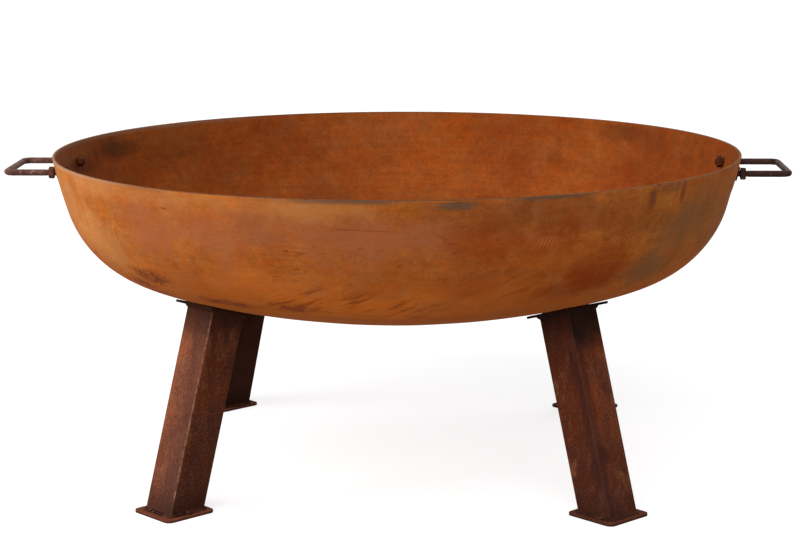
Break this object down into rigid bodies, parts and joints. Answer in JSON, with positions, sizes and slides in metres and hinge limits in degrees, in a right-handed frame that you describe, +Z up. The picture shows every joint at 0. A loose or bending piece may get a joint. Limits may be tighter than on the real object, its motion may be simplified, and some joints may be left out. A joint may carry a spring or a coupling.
{
  "type": "fire pit",
  "caption": "Round open steel fire bowl with a rust patina, on splayed square-tube legs with plate feet, with a bent rod carrying handle bolted on at each side.",
  "frame": {"origin": "on the ground under the middle of the bowl", "axes": "+Z up, +X through the right handle, -Y towards the viewer of the picture"},
  "size_m": [0.984, 0.8636, 0.401],
  "materials": {
    "bowl_steel": "orange-brown rust patina, matt, brushed and clouded",
    "leg_steel": "dark red-brown rust, matt, speckled, darker under the bowl",
    "handle_steel": "dark purple-brown oxide with a soft sheen",
    "hardware_steel": "dark oxidised steel",
    "weld_metal": "rusted weld bead"
  },
  "bodies": {
    "root": {"bowl": "bowl_steel", "leg_tube_front_left": "leg_steel", "leg_tube_front_right": "leg_steel", "leg_tube_back_left": "leg_steel", "leg_tube_back_right": "leg_steel", "leg_top_plate_front_left": "leg_steel", "leg_top_plate_front_right": "leg_steel", "leg_top_plate_back_left": "leg_steel", "leg_top_plate_back_right": "leg_steel", "leg_foot_plate_front_left": "leg_steel", "leg_foot_plate_front_right": "leg_steel", "leg_foot_plate_back_left": "leg_steel", "leg_foot_plate_back_right": "leg_steel", "leg_top_weld_front_left": "weld_metal", "leg_top_weld_front_right": "weld_metal", "leg_top_weld_back_left": "weld_metal", "leg_top_weld_back_right": "weld_metal", "leg_foot_weld_front_left": "weld_metal", "leg_foot_weld_front_right": "weld_metal", "leg_foot_weld_back_left": "weld_metal", "leg_foot_weld_back_right": "weld_metal", "leg_bolt_front_left": "hardware_steel", "leg_bolt_front_right": "hardware_steel", "leg_bolt_back_left": "hardware_steel", "leg_bolt_back_right": "hardware_steel", "leg_bolt_washer_front_left": "hardware_steel", "leg_bolt_washer_front_right": "hardware_steel", "leg_bolt_washer_back_left": "hardware_steel", "leg_bolt_washer_back_right": "hardware_steel", "leg_weld_nut_front_left": "hardware_steel", "leg_weld_nut_front_right": "hardware_steel", "leg_weld_nut_back_left": "hardware_steel", "leg_weld_nut_back_right": "hardware_steel", "handle_left": "handle_steel", "handle_right": "handle_steel", "handle_outer_washers_left": "hardware_steel", "handle_outer_washers_right": "hardware_steel", "handle_outer_nuts_left": "hardware_steel", "handle_outer_nuts_right": "hardware_steel", "handle_inner_nuts_left": "hardware_steel", "handle_inner_nuts_right": "hardware_steel"}
  },
  "joints": []
}
